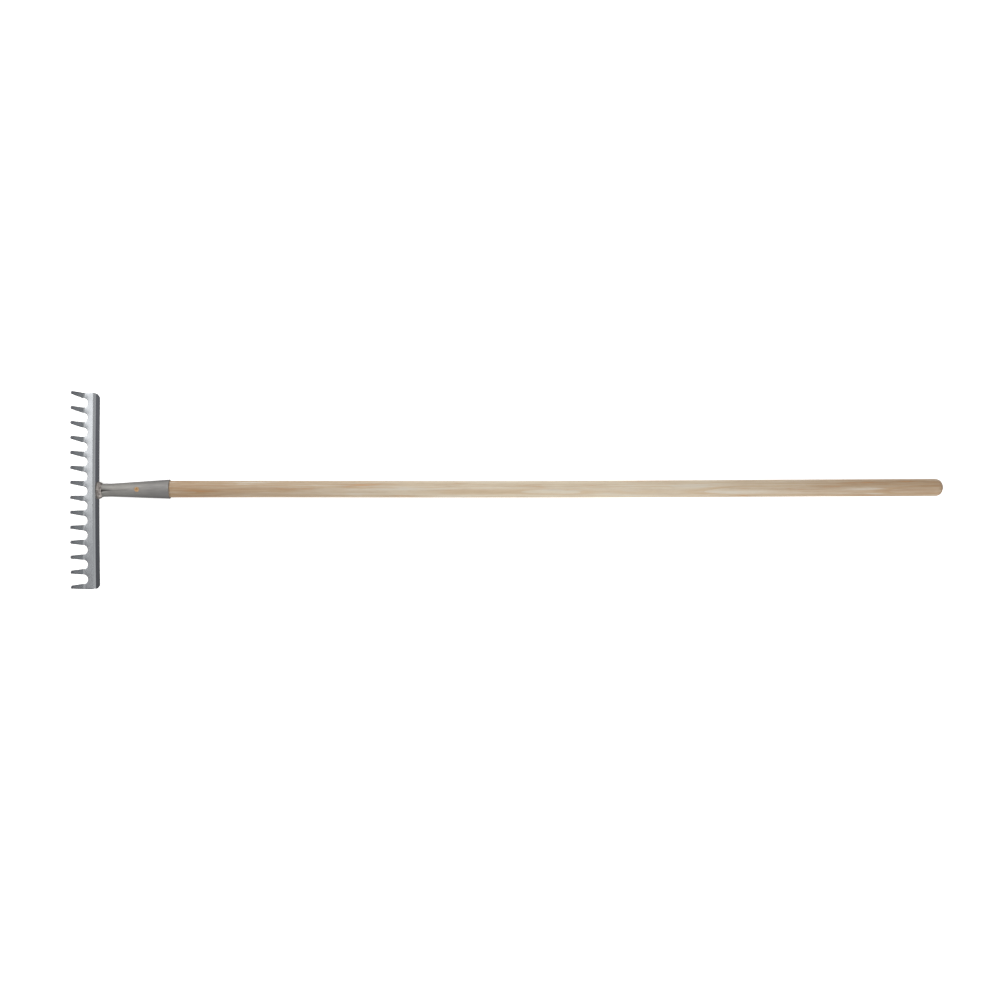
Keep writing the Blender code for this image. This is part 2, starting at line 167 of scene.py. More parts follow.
@dataclass
class Surface:
    """A closed surface worked out as arrays, ready to go into a mesh."""

    points: Array
    quads: Array
    triangles: Array = field(default_factory=lambda: np.zeros((0, 3), int))
    attributes: dict[str, Array] = field(default_factory=dict)

    def build(
        self, name: str, material: bpy.types.Material, crease: float = CREASE,
    ) -> bpy.types.Object:
        """Put the surface into a mesh object at the origin.

        Args:
            name: the object's name.
            material: its material.
            crease: the angle in degrees past which an edge stays sharp.

        Returns:
            The object, linked to the scene.
        """
        mesh = bpy.data.meshes.new(name)
        loops = np.concatenate([self.quads.ravel(), self.triangles.ravel()]).astype(np.int32)
        sizes = np.concatenate([np.full(len(self.quads), 4), np.full(len(self.triangles), 3)])
        mesh.vertices.add(len(self.points))
        mesh.vertices.foreach_set("co", self.points.astype(np.float32).ravel())
        mesh.loops.add(len(loops))
        mesh.loops.foreach_set("vertex_index", loops)
        mesh.polygons.add(len(sizes))
        starts = np.concatenate([[0], np.cumsum(sizes)[:-1]]).astype(np.int32)
        mesh.polygons.foreach_set("loop_start", starts)
        for key, values in self.attributes.items():
            layer = mesh.attributes.new(key, "FLOAT", "POINT")
            layer.data.foreach_set("value", np.asarray(values, np.float32))
        mesh.update(calc_edges=True)
        mesh.validate()
        mesh.shade_smooth()
        mesh.set_sharp_from_angle(angle=math.radians(crease))
        mesh.materials.append(material)
        made = bpy.data.objects.new(name, mesh)
        bpy.context.scene.collection.objects.link(made)
        return made


class Slot(Enum):
    """The record's material slots."""

    HEAD = "head_steel"
    SOCKET = "socket_steel"
    WELD = "weld_metal"
    HANDLE = "handle_wood"
    SCREW = "screw_steel"


def hand_over(piece: bpy.types.Object, cad_node: str) -> None:
    """Let a finished piece ride on the rake and stand for its CAD node, which it hides.

    Args:
        piece: the finished piece.
        cad_node: the CAD node that it stands for.
    """
    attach(piece, BODY)
    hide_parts(cad_node)
    corners = np.array([vertex.co for vertex in piece.data.vertices])
    LOG.info(
        "%s: %d faces, from %s to %s mm", piece.name, len(piece.data.polygons),
        np.round(corners.min(0) * 1000.0, 1), np.round(corners.max(0) * 1000.0, 1),
    )


@dataclass
class RakeLayout:
    """Where the pieces meet, read from the CAD boxes."""

    handle_length: float = 1.475
    insert: float = 0.090
    socket_length: float = 0.129
    axis_drop: float = 0.0155
    seat_gap: float = 0.0003
    neck_aside: float = 0.0017
    mouth_aside: float = 0.0039
    end_aside: float = 0.0068
    bow: float = 0.0016

    def __post_init__(self) -> None:
        """Read the handle's axis and the flange's rear face from the frame."""
        low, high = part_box("handle")
        self.axis_z = (low.z + high.z) / 2.0
        self.end_x = high.x
        self.flange_x = high.x - self.handle_length - self.socket_length + self.insert
        self.plate_z = self.axis_z + self.axis_drop
        self.handle_end = self.socket_length - self.insert + self.handle_length

    def aside(self, along: Array) -> Array:
        """Return how far to +Y of the head's middle the socket and the handle run.

        The socket is welded about a degree off square. From its mouth the handle goes on nearer to
        square, bowed back by a squared sine of its length.

        Args:
            along: distances from the weld.

        Returns:
            The middle line's y at each.
        """
        mouth, end = self.socket_length, self.handle_end
        share = np.clip(along / mouth, 0.0, 1.0)
        out = np.clip((along - mouth) / (end - mouth), 0.0, 1.0)
        skew = self.neck_aside + (self.mouth_aside - self.neck_aside) * share
        skew = skew + (self.end_aside - self.mouth_aside) * out
        return skew - self.bow * np.sin(math.pi * out) ** 2


class Finish:
    """A material's looks: a ground colour, coats of colour over it, and how it takes the light."""

    title: ClassVar[str]
    ground: str

    def looks(self, tree: Tree, place: Socket) -> tuple[Coats, Inputs]:
        """Add the finish's own nodes.

        Args:
            tree: the material's node tree.
            place: where a point lies, in metres.

        Returns:
            The coats, each with the share that it covers and its colour, and what the shader's
            other inputs hold.
        """
        raise NotImplementedError

    def make(self) -> bpy.types.Material:
        """Build the material, with each coat laid over the ones before it.

        Returns:
            The material.
        """
        material = bpy.data.materials.new(self.title)
        material.use_nodes = True
        tree = material.node_tree
        tree.nodes.clear()
        coats, inputs = self.looks(tree, node(tree, "TexCoord").outputs["Object"])
        colour = linear(self.ground)
        for share, tone in coats:
            colour = node(tree, "Mix", {0: share, 6: colour, 7: linear(tone)}, data_type="RGBA")
        shader = node(tree, "BsdfPrincipled", {"Base Color": colour, **inputs})
        node(tree, "OutputMaterial", {"Surface": shader})
        return material


@dataclass(frozen=True)
class ZincPlate(Finish):
    """Bright zinc plate on pressed steel.

    The plating is satin and pale. It clouds a little from place to place, the way a rack-plated
    sheet does, and its rounded edges are painted darker than the flats, as painted shade.
    """

    title: ClassVar[str] = "zinc_plated_steel"
    ground: str = "C9CCCE"
    cloud: str = "B4B7BA"
    edge_shade: str = "7C7D80"
    clear_roughness: float = 0.15
    cloudy_roughness: float = 0.27
    cloud_mm: float = 38.0
    grain_mm: float = 0.9
    grain_strength: float = 0.12
    grain_depth: float = 0.00004

    def looks(self, tree: Tree, place: Socket) -> tuple[Coats, Inputs]:
        """Cloud the plate, and paint shade on its rounded edges by the attribute edge.

        Args:
            tree: the material's node tree.
            place: where a point lies, in metres.

        Returns:
            The coats and the shader's other inputs.
        """
        noise = {"Vector": place, "Scale": 1000.0 / self.cloud_mm, "Detail": 4.0, "Roughness": 0.6}
        clouds = node(tree, "TexNoise", noise)
        fine = {"Vector": place, "Scale": 1000.0 / self.grain_mm, "Detail": 2.0}
        grain = node(tree, "TexNoise", fine)
        # Painted shade: the attribute edge darkens the rounded edge band.
        edge = node(tree, "Attribute", attribute_name="edge").outputs["Fac"]
        rough = {"Value": clouds, "To Min": self.clear_roughness, "To Max": self.cloudy_roughness}
        bump = {"Height": grain, "Strength": self.grain_strength, "Distance": self.grain_depth}
        return [(clouds, self.cloud), (edge, self.edge_shade)], {
            "Metallic": 1.0,
            "Roughness": node(tree, "MapRange", rough),
            "Normal": node(tree, "Bump", bump),
        }


@dataclass(frozen=True)
class RolledSheet(Finish):
    """Plain rolled steel sheet with a matt grey surface.

    The rollers leave it matt, with faint marks along the cone. It is painted darker towards its
    mouth, as painted shade, and its seam is painted darker, as painted shade in its crease.
    and its seam is darker, where dirt and the plating bath have stayed in it.
    """

    title: ClassVar[str] = "rolled_sheet_steel"
    ground: str = "ABA9A3"
    # A tone for the random marks, which also carries the painted shade towards the mouth.
    marks_and_mouth_shade: str = "93918F"
    # The colour of the painted shade in the seam's crease.
    seam: str = "4A4744"
    least_roughness: float = 0.66
    most_roughness: float = 0.82
    mark_mm: float = 3.0
    mark_strength: float = 0.25
    mark_depth: float = 0.00006
    drawn: Triple = (0.12, 1.0, 1.0)
    # Where the painted shade towards the mouth starts, where it is full, and how much it covers.
    mouth_shade_from: float = -0.694
    mouth_shade_to: float = -0.636
    mouth_shade: float = 0.45

    def looks(self, tree: Tree, place: Socket) -> tuple[Coats, Inputs]:
        """Draw the marks out along the cone, paint shade towards its mouth, and paint shade into the
        seam by its attribute.

        Args:
            tree: the material's node tree.
            place: where a point lies, in metres.

        Returns:
            The coats and the shader's other inputs.
        """
        along = node(tree, "SeparateXYZ", {"Vector": place}).outputs["X"]
        # Painted shade: the colour darkens towards the mouth.
        reach = {"Value": along, "From Min": self.mouth_shade_from, "From Max": self.mouth_shade_to}
        mouth = node(tree, "MapRange", {**reach, "To Max": self.mouth_shade})
        drawn = node(tree, "Mapping", {"Vector": place, "Scale": self.drawn})
        noise = {"Vector": drawn, "Scale": 1000.0 / self.mark_mm, "Detail": 5.0, "Roughness": 0.65}
        marks = node(tree, "TexNoise", noise)
        marks_and_mouth_shade = node(tree, "Math", {0: marks, 1: mouth}, operation="ADD")
        # Painted shade: the attribute seam darkens the seam's crease.
        seam = node(tree, "Attribute", attribute_name="seam").outputs["Fac"]
        rough = {"Value": marks, "To Min": self.least_roughness, "To Max": self.most_roughness}
        bump = {"Height": marks, "Strength": self.mark_strength, "Distance": self.mark_depth}
        return [(marks_and_mouth_shade, self.marks_and_mouth_shade), (seam, self.seam)], {
            "Metallic": 1.0,
            "Roughness": node(tree, "MapRange", rough),
            "Normal": node(tree, "Bump", bump),
        }


@dataclass(frozen=True)
class WeldMetal(Finish):
    """A run of mild steel weld, left as it cooled.

    Its ripples are brownish grey and mottled with scale, and their crests are painted paler as a
    painted highlight, so the dips between them are darker.
    """

    title: ClassVar[str] = "weld_metal"
    ground: str = "605A57"
    bare_metal_and_highlight: str = "BFB8B2"
    roughness: float = 0.52
    scale_mm: float = 3.6
    scale_strength: float = 0.4
    scale_depth: float = 0.0001
    dip_share: float = 0.70

    def looks(self, tree: Tree, place: Socket) -> tuple[Coats, Inputs]:
        """Paint the crests paler by the attribute ripple, as a painted highlight, and mottle the pale
        tone with scale.

        Args:
            tree: the material's node tree.
            place: where a point lies, in metres.

        Returns:
            The coats and the shader's other inputs.
        """
        noise = {"Vector": place, "Scale": 1000.0 / self.scale_mm, "Detail": 4.0, "Roughness": 0.7}
        scale = node(tree, "TexNoise", noise)
        spots = {"Value": scale, "From Min": 0.36, "From Max": 0.62, "To Min": 0.25, "To Max": 0.9}
        mottle = node(tree, "MapRange", spots, interpolation_type="SMOOTHSTEP")
        # Painted highlight: the crests of the ripples get more of the pale tone.
        ripple = node(tree, "Attribute", attribute_name="ripple").outputs["Fac"]
        lift = {0: ripple, 1: 1.0 - self.dip_share, 2: self.dip_share}
        crest_highlight = node(tree, "Math", lift, operation="MULTIPLY_ADD")
        bare_and_highlight_share = node(tree, "Math", {0: crest_highlight, 1: mottle}, operation="MULTIPLY")
        bump = {"Height": scale, "Strength": self.scale_strength, "Distance": self.scale_depth}
        return [(bare_and_highlight_share, self.bare_metal_and_highlight)], {
            "Metallic": 1.0, "Roughness": self.roughness, "Normal": node(tree, "Bump", bump),
        }


@dataclass(frozen=True)
class TurnedAsh(Finish):
    """Turned and sanded ash, without varnish.

    The tree's rings are 2 to 3 mm apart and lie round a pith outside the handle, so they show as
    lines along it and as arcs on its end. Early wood is pale, late wood is browner, and fine pores
    run along the grain. The wood is painted browner towards both ends, as painted shade where the
    light falls off, and long brown and silver streaks and a few orange flecks lie over it. Pores,
    streaks, flecks and the end shade each say where they start to show, where they show in full and
    how much they cover.
    """

    title: ClassVar[str] = "turned_ash"
    ground: str = "C9BEAA"
    late: str = "C0AD92"
    pore: str = "9A8262"
    brown: str = "8A6843"
    silver: str = "C3BEB2"
    fleck: str = "B8824F"
    end_grain: str = "75593B"
    ring_mm: float = 2.7
    pith: Triple = (0.0, 0.031, -0.058)
    drift: Triple = (2.2, 9.0, 9.0)
    drift_reach: float = 0.016
    late_from: float = 0.35
    late_to: float = 0.92
    pore_mm: float = 0.45
    pore_stretch: Triple = (0.035, 1.0, 1.0)
    pore_lines: Triple = (0.52, 0.72, 0.35)
    pore_strength: float = 0.25
    pore_depth: float = 0.00008
    streak_stretch: Triple = (8.0, 150.0, 150.0)
    brown_streaks: Triple = (0.44, 0.72, 0.26)
    silver_streaks: Triple = (0.45, 0.33, 0.55)
    orange_flecks: Triple = (0.60, 0.72, 0.55)
    # The painted end shade: where the handle is palest, and how it darkens towards both ends.
    lit_middle_at: float = 0.08
    end_shade: Triple = (0.05, 0.76, 0.67)
    roughness: float = 0.58
    bend_of_light: float = 1.45

    def rings(self, tree: Tree, place: Socket) -> bpy.types.Node:
        """Add the nodes of the tree's rings.

        A ring's phase is the fraction of (distance from the pith + drift) / ring width. Late wood
        comes in by a smooth step of the phase.

        Args:
            tree: the material's node tree.
            place: where a point lies, in metres.

        Returns:
            The node that says how much of a point is late wood.
        """
        drift = node(tree, "Mapping", {"Vector": place, "Scale": self.drift})
        noise = {"Vector": drift, "Scale": 1.0, "Detail": 3.0, "Roughness": 0.5}
        waver = node(tree, "TexNoise", noise)
        centred = node(tree, "VectorMath", {0: place, 1: self.pith}, operation="SUBTRACT")
        way = node(tree, "SeparateXYZ", {"Vector": centred}).outputs
        value = node(tree, "Math", {0: way["Y"], 1: way["Y"]}, operation="MULTIPLY")
        value = node(tree, "Math", {0: way["Z"], 1: way["Z"], 2: value}, operation="MULTIPLY_ADD")
        value = node(tree, "Math", {0: value}, operation="SQRT")
        moved = {0: waver, 1: self.drift_reach, 2: value}
        value = node(tree, "Math", moved, operation="MULTIPLY_ADD")
        value = node(tree, "Math", {0: value, 1: 1000.0 / self.ring_mm}, operation="MULTIPLY")
        value = node(tree, "Math", {0: value}, operation="FRACT")
        late = {"Value": value, "From Min": self.late_from, "From Max": self.late_to}
        return node(tree, "MapRange", late, interpolation_type="SMOOTHSTEP")

    def looks(self, tree: Tree, place: Socket) -> tuple[Coats, Inputs]:
        """Lay late wood, pores, brown, silver, flecks and the attribute end_grain over early wood.

        The painted end shade grows by a smooth step of the distance from the whitest place along the
        handle.

        Args:
            tree: the material's node tree.
            place: where a point lies, in metres.

        Returns:
            The coats and the shader's other inputs.
        """
        grain = []
        for stretch, size, detail, roughness in (
            (self.pore_stretch, 1000.0 / self.pore_mm, 3.0, 0.6),
            (self.streak_stretch, 1.0, 4.0, 0.62),
        ):
            along = node(tree, "Mapping", {"Vector": place, "Scale": stretch})
            noise = {"Vector": along, "Scale": size, "Detail": detail, "Roughness": roughness}
            grain.append(node(tree, "TexNoise", noise))
        pores, streaks = grain
        x = node(tree, "SeparateXYZ", {"Vector": place}).outputs["X"]
        middle = node(tree, "Math", {0: x, 1: self.lit_middle_at}, operation="SUBTRACT")
        distance = node(tree, "Math", {0: middle}, operation="ABSOLUTE")
        shares = []
        for value, (start, full, most) in (
            (pores, self.pore_lines), (streaks, self.brown_streaks), (streaks, self.silver_streaks),
            (streaks, self.orange_flecks), (distance, self.end_shade),
        ):
            reach = {"Value": value, "From Min": start, "From Max": full, "To Max": most}
            shares.append(node(tree, "MapRange", reach, interpolation_type="SMOOTHSTEP"))
        pore, brown, silver, fleck, end_shade_share = shares
        # The brown streaks and the painted end shade share the brown colour.
        brown = node(tree, "Math", {0: brown, 1: end_shade_share}, operation="ADD", use_clamp=True)
        cut = node(tree, "Attribute", attribute_name="end_grain").outputs["Fac"]
        bump = {"Height": pores, "Strength": self.pore_strength, "Distance": self.pore_depth}
        coats = [
            (self.rings(tree, place), self.late), (pore, self.pore), (brown, self.brown),
            (silver, self.silver), (fleck, self.fleck), (cut, self.end_grain),
        ]
        return coats, {
            "Roughness": self.roughness,
            "IOR": self.bend_of_light,
            "Normal": node(tree, "Bump", bump),
        }


@dataclass(frozen=True)
class YellowZinc(Finish):
    """Yellow passivated zinc on a steel screw: warm, satin and a little uneven in tone."""

    title: ClassVar[str] = "yellow_zinc"
    ground: str = "DDB88C"
    worn: str = "937150"
    roughness: float = 0.36
    patch_mm: float = 1.5

    def looks(self, tree: Tree, place: Socket) -> tuple[Coats, Inputs]:
        """Wear the plating in patches.

        Args:
            tree: the material's node tree.
            place: where a point lies, in metres.

        Returns:
            The coats and the shader's other inputs.
        """
        noise = {"Vector": place, "Scale": 1000.0 / self.patch_mm, "Detail": 3.0}
        patches = node(tree, "TexNoise", noise)
        return [(patches, self.worn)], {"Metallic": 1.0, "Roughness": self.roughness}


@dataclass(frozen=True)
class MattPaper(Finish):
    """The studio's white floor: matt paper that gives off a little light of its own."""

    title: ClassVar[str] = "matt_paper"
    ground: str = "F6F6F5"
    glow: float = 0.62
    roughness: float = 0.9
    fibres_per_metre: float = 30.0
    fibre_strength: float = 0.02
    fibre_depth: float = 0.001

    def looks(self, tree: Tree, place: Socket) -> tuple[Coats, Inputs]:
        """Raise the paper's fibres a little and let it glow in its own colour.

        Args:
            tree: the material's node tree.
            place: where a point lies, in metres.

        Returns:
            The coats and the shader's other inputs.
        """
        noise = {"Vector": place, "Scale": self.fibres_per_metre, "Detail": 3.0}
        fibres = node(tree, "TexNoise", noise)
        bump = {"Height": fibres, "Strength": self.fibre_strength, "Distance": self.fibre_depth}
        return [], {
            "Roughness": self.roughness, "Normal": node(tree, "Bump", bump),
            "Emission Color": linear(self.ground), "Emission Strength": self.glow,
        }


class Piece:
    """A piece of the rake that stands for one CAD node."""

    title: ClassVar[str]
    cad_node: ClassVar[str]
    slot: ClassVar[Slot]
    finish: ClassVar[Finish]
    crease: ClassVar[float] = CREASE

    def surface(self) -> Surface:
        """Return the piece's closed surface."""
        raise NotImplementedError

    def build(self) -> bpy.types.Object:
        """Build the piece in its finish and hand it over.

        Returns:
            The piece.
        """
        piece = self.surface().build(self.title, self.finish.make(), self.crease)
        hand_over(piece, self.cad_node)
        return piece


@dataclass
class PressedHead(Piece):
    """The head: a flat blank with tines and gullets, folded along its two bends.

    A point of the flat blank is (s, y). s is 0 where the tines start, which run on flat for a few
    millimetres before their bend. It grows towards the tips and is negative on the plate and the
    flange. y runs across the head.
    """

    title: ClassVar[str] = "pressed_head"
    cad_node: ClassVar[str] = "rake_head"
    slot: ClassVar[Slot] = Slot.HEAD
    finish: ClassVar[Finish] = ZincPlate()

    layout: RakeLayout
    width: float = 0.351
    sheet: float = 0.0025
    tines: int = 14
    tine_height: float = 0.060
    tine_lean: float = math.radians(5.5)
    root_width: float = 0.0102
    tip_width: float = 0.0055
    tip_round: float = 0.0025
    tine_bend: float = 0.003
    root_flat: float = 0.0045
    gullet_setback: float = 0.0006
    plate: float = 0.0086
    flange_angle: float = math.radians(82.0)
    flange_bend: float = 0.0035
    flange_depth: float = 0.0233
    end_inset: float = 0.001
    bow: float = 0.0013
    corner_long: float = 0.011
    corner_inset: float = 0.0055
    corner_round: float = 0.002
    corner_soft: float = 0.28
    corner_bite: float = 0.75
    edge: float = 0.0008
    columns: int = 10
    edge_steps: int = 4
    gullet_steps: int = 15
    tine_bend_steps: int = 16
    tine_steps: int = 24
    tip_steps: int = 8
    corner_steps: int = 7
    cut_steps: int = 15
    flat_steps: int = 6
    flange_bend_steps: int = 19

    def __post_init__(self) -> None:
        """Work out the flat lengths and where the bends stand."""
        half = self.sheet / 2.0
        self.tine_turn = QUARTER - self.tine_lean
        self.tine_arc = (self.tine_bend + half) * self.tine_turn
        self.flange_arc = (self.flange_bend + half) * self.flange_angle
        rise = self.tine_bend - (self.tine_bend + half) * math.cos(self.tine_turn)
        flat_part = (self.tine_height - rise) / math.sin(self.tine_turn)
        self.tine_end = self.root_flat + self.tine_arc + flat_part
        outside = self.flange_bend + self.sheet
        drop = outside * (1.0 - math.cos(self.flange_angle))
        flat = (self.flange_depth - drop) / math.sin(self.flange_angle)
        self.flange_end = -(self.plate + self.flange_arc + flat)
        run = outside * math.sin(self.flange_angle)
        run += (self.layout.axis_drop - drop) / math.tan(self.flange_angle)
        self.bend_x = self.layout.flange_x - run - self.plate
        self.spacing = (self.width - self.root_width) / (self.tines - 1)
        taper = (self.root_width - self.tip_width) / 2.0
        self.slope = taper / (self.tine_end + self.gullet_setback)
        self.skew = math.hypot(1.0, self.slope)
        self.gullet_round = (self.spacing - self.root_width) / 2.0 / (self.skew - self.slope)

    def fold(self, s: Array, y: Array, height: float) -> Array:
        """Return where points of the flat blank lie when it is folded.

        On a bend of radius R the point turns about the bend's axis by its distance along it over R,
        and past the bend it goes straight on. height moves it square to the sheet. The whole head
        bows: x grows with the square of the distance from its middle.

        Args:
            s: how far along the blank each point is.
            y: how far across the head each point is.
            height: how far above the sheet's middle all the points are.

        Returns:
            The points in space.
        """
        half = self.sheet / 2.0
        bent = s - self.root_flat
        turn = np.clip(bent, 0.0, self.tine_arc) / (self.tine_bend + half)
        arm = self.tine_bend + half - height
        straight = np.maximum(bent - self.tine_arc, 0.0)
        tine_x = -np.clip(s, 0.0, self.root_flat) - arm * np.sin(turn) - straight * np.cos(turn)
        tine_z = self.tine_bend - arm * np.cos(turn) + straight * np.sin(turn)
        past = np.maximum(-s - self.plate, 0.0)
        back = np.clip(past, 0.0, self.flange_arc) / (self.flange_bend + half)
        lever = self.flange_bend + half + height
        down = np.maximum(past - self.flange_arc, 0.0)
        flange_x = np.clip(-s, 0.0, self.plate) + lever * np.sin(back) + down * np.cos(back)
        flange_z = -self.sheet - self.flange_bend + lever * np.cos(back) - down * np.sin(back)
        swing = self.bow * (2.0 * y / self.width) ** 2
        x = self.bend_x + np.where(s >= 0.0, tine_x, flange_x) + swing
        z = self.layout.plate_z + np.where(s >= 0.0, tine_z, flange_z)
        return np.stack([x, y, z], axis=-1)

    def side(self, s: Array, inset: float) -> Array:
        """Return a tine's half width at s: a straight taper, drawn in by an inset square to it."""
        return self.root_width / 2.0 - self.slope * (s + self.gullet_setback) - inset * self.skew

    def tine_outline(self, inset: float) -> tuple[Array, Array, Array]:
        """Return the rows of a tine, from the bottom of its gullets to its tip.

        A gullet is an arc about a centre on the cells' boundary, up to where it touches the tine's
        side. The side then runs straight, and an arc rounds the tip.

        Args:
            inset: how far inside the cut outline the rows end.

        Returns:
            s of each row, the half width between the gullets, and the half width to a plain side.
        """
        bevel = math.atan(self.slope)
        sweep = np.linspace(0.0, QUARTER - bevel, self.gullet_steps)
        reach = self.gullet_round + inset
        gullet_s = self.gullet_round - self.gullet_setback - reach * np.cos(sweep)
        gullet_half = self.spacing / 2.0 - reach * np.sin(sweep)
        tip_s = self.tine_end - self.tip_round
        tip_half = float(self.side(np.float64(tip_s), 0.0)) - self.tip_round * self.skew
        turn = np.linspace(bevel, QUARTER, self.tip_steps)
        curve = self.tip_round - inset
        round_s = tip_s + curve * np.sin(turn)
        round_half = tip_half + curve * np.cos(turn)
        bend_end = self.root_flat + self.tine_arc
        long_s = np.concatenate([
            np.linspace(gullet_s[-1], bend_end, self.tine_bend_steps)[1:],
            np.linspace(bend_end, round_s[0], self.tine_steps)[1:-1],
        ])
        long_half = self.side(long_s, inset)
        s = np.concatenate([gullet_s, long_s, round_s])
        between = np.concatenate([gullet_half, long_half, round_half])
        plain = np.concatenate([self.side(gullet_s, inset), long_half, round_half])
        return s, between, plain

    def plate_rows(self, inset: float) -> tuple[Array, Array]:
        """Return the rows of the plate and the flange, from the flange's free edge to the gullets.

        The head narrows by a straight cut at the flange's corners, which a Gaussian softens where
        it starts and an arc rounds at the free edge. Over its bend it grows by the end inset.

        Args:
            inset: how far inside the cut outline the rows end.

        Returns:
            s of each row, and half the head's width there.
        """
        free = self.flange_end + inset
        corner = self.flange_end + self.corner_long
        bend = -self.plate - self.flange_arc
        rounded = corner + self.corner_round
        start = self.corner_round * (1.0 - np.cos(np.linspace(0.0, QUARTER, self.corner_steps)))
        s = np.concatenate([
            (free + start)[:-1],
            np.linspace(free + self.corner_round, rounded, self.cut_steps)[:-1],
            np.linspace(rounded, bend, self.flat_steps)[:-1],
            np.linspace(bend, -self.plate, self.flange_bend_steps)[:-1],
            np.linspace(-self.plate, -self.gullet_setback - inset, self.flat_steps),
        ])
        side = self.width / 2.0 - self.end_inset
        cut = self.corner_inset * np.clip((corner - s) / self.corner_long, 0.0, 1.0)
        off = (s - corner) / self.corner_round
        soft = self.corner_soft * self.corner_round * np.exp(-(off**2))
        deep = np.clip(1.0 - (s - free) / self.corner_round, 0.0, 1.0)
        corner_arc = self.corner_round * (1.0 - np.sqrt(1.0 - deep**2)) * self.corner_bite
        flare = self.end_inset * np.clip(1.0 + (s + self.plate) / self.flange_arc, 0.0, 1.0)
        return s, side - cut - soft - corner_arc + flare - inset

    def spread(self, low: Array, high: Array) -> Array:
        """Return evenly spread points from low to high, for each row of each tine's cell."""
        share = np.linspace(-1.0, 1.0, self.columns + 1)
        return (high + low)[:, :, None] / 2.0 + (high - low)[:, :, None] / 2.0 * share

    def level(self, inset: float, height: float) -> Array:
        """Return all the grid's points for one inset and one height above the sheet's middle.

        The plate's rows run across the whole head. A tine's rows span its own cell, whose first
        row is the plate's last one.

        Args:
            inset: how far inside the cut outline the points end.
            height: how far above the sheet's middle they are.

        Returns:
            The points, the plate's first and then those of each tine without its first row.
        """
        centres = (np.arange(self.tines) - (self.tines - 1) / 2.0) * self.spacing
        s_plate, half = self.plate_rows(inset)
        low = np.repeat(centres[:, None] - self.spacing / 2.0, len(s_plate), axis=1)
        high = low + self.spacing
        low[0], high[-1] = -half, half
        cells = self.spread(low, high)
        y_plate = np.hstack([cells[0][:, :1], *cells[:, :, 1:]])
        plate = self.fold(np.broadcast_to(s_plate[:, None], y_plate.shape), y_plate, height)
        s_tine, between, plain = self.tine_outline(inset)
        low = np.repeat(-between[None, :], self.tines, axis=0)
        high = np.repeat(between[None, :], self.tines, axis=0)
        low[0], high[-1] = -plain, plain
        y_tine = centres[:, None, None] + self.spread(low, high)
        tines = self.fold(np.broadcast_to(s_tine[None, :, None], y_tine.shape), y_tine, height)
        return np.concatenate([plate.reshape(-1, 3), tines[:, 1:].reshape(-1, 3)])

    def numbering(self) -> tuple[Array, Array]:
        """Number the points in the order in which they are stored.

        Returns:
            The numbers of the plate's grid, and of each tine's grid from the plate's last row on.
        """
        plate_rows = len(self.plate_rows(0.0)[0])
        tine_rows = len(self.tine_outline(0.0)[0])
        plate = np.arange(plate_rows * (self.tines * self.columns + 1)).reshape(plate_rows, -1)
        rest = np.arange(self.tines * (tine_rows - 1) * (self.columns + 1)) + plate.size
        cells = np.arange(self.tines)[:, None] * self.columns + np.arange(self.columns + 1)
        rows = rest.reshape(self.tines, tine_rows - 1, self.columns + 1)
        return plate, np.concatenate([plate[-1][cells][:, None], rows], axis=1)

    def rim(self, plate: Array, tines: Array) -> Array:
        """Follow the cut outline round the head.

        Args:
            plate: the point numbers of the plate's grid.
            tines: the point numbers of each tine's grid.

        Returns:
            The numbers of the outline's points, as one closed loop.
        """
        loop = [plate[0], plate[1:-1, -1]]
        for tine in tines[::-1]:
            loop += [tine[:-1, -1], tine[-1, ::-1], tine[-2:0:-1, 0]]
        loop += [plate[:0:-1, 0]]
        return np.concatenate(loop)

    def surface(self) -> Surface:
        """Build both faces of the sheet and the rounded edge between them.

        The edge is a quarter round at each face: at turn t the outline lies 1 - sin t edge radii
        inside and 1 - cos t edge radii below the face.

        Returns:
            The closed surface, with the attribute edge, which marks the rounded edge for its painted
            shade.
        """
        plate, tines = self.numbering()
        quads = np.concatenate([quads_of(plate), *(quads_of(tine) for tine in tines)])
        rim = self.rim(plate, tines)
        half = self.sheet / 2.0
        turns = np.linspace(0.0, QUARTER, self.edge_steps + 1)
        insets = self.edge * (1.0 - np.sin(turns))
        drops = self.edge * (1.0 - np.cos(turns))
        top = self.level(self.edge, half)
        bottom = self.level(self.edge, -half)
        steps = [(inset, half - drop) for inset, drop in zip(insets[1:], drops[1:])]
        steps += [(inset, drop - half) for inset, drop in zip(insets[:0:-1], drops[:0:-1])]
        bands = [self.level(inset, height)[rim] for inset, height in steps]
        points = np.concatenate([top, *bands, bottom])
        banded = len(top) + len(bands) * len(rim)
        starts = range(len(top), banded, len(rim))
        rings = [rim, *(start + np.arange(len(rim)) for start in starts), rim + banded]
        strips = [
            np.stack([upper, lower, np.roll(lower, -1), np.roll(upper, -1)], axis=-1)
            for upper, lower in zip(rings[:-1], rings[1:])
        ]
        # The rounded edge band is marked with 1, for the painted shade on the edges.
        edge = np.zeros(len(points))
        edge[len(top) : banded] = 1.0
        below = quads[:, ::-1] + banded
        return Surface(points, np.concatenate([quads, below, *strips]), attributes={"edge": edge})


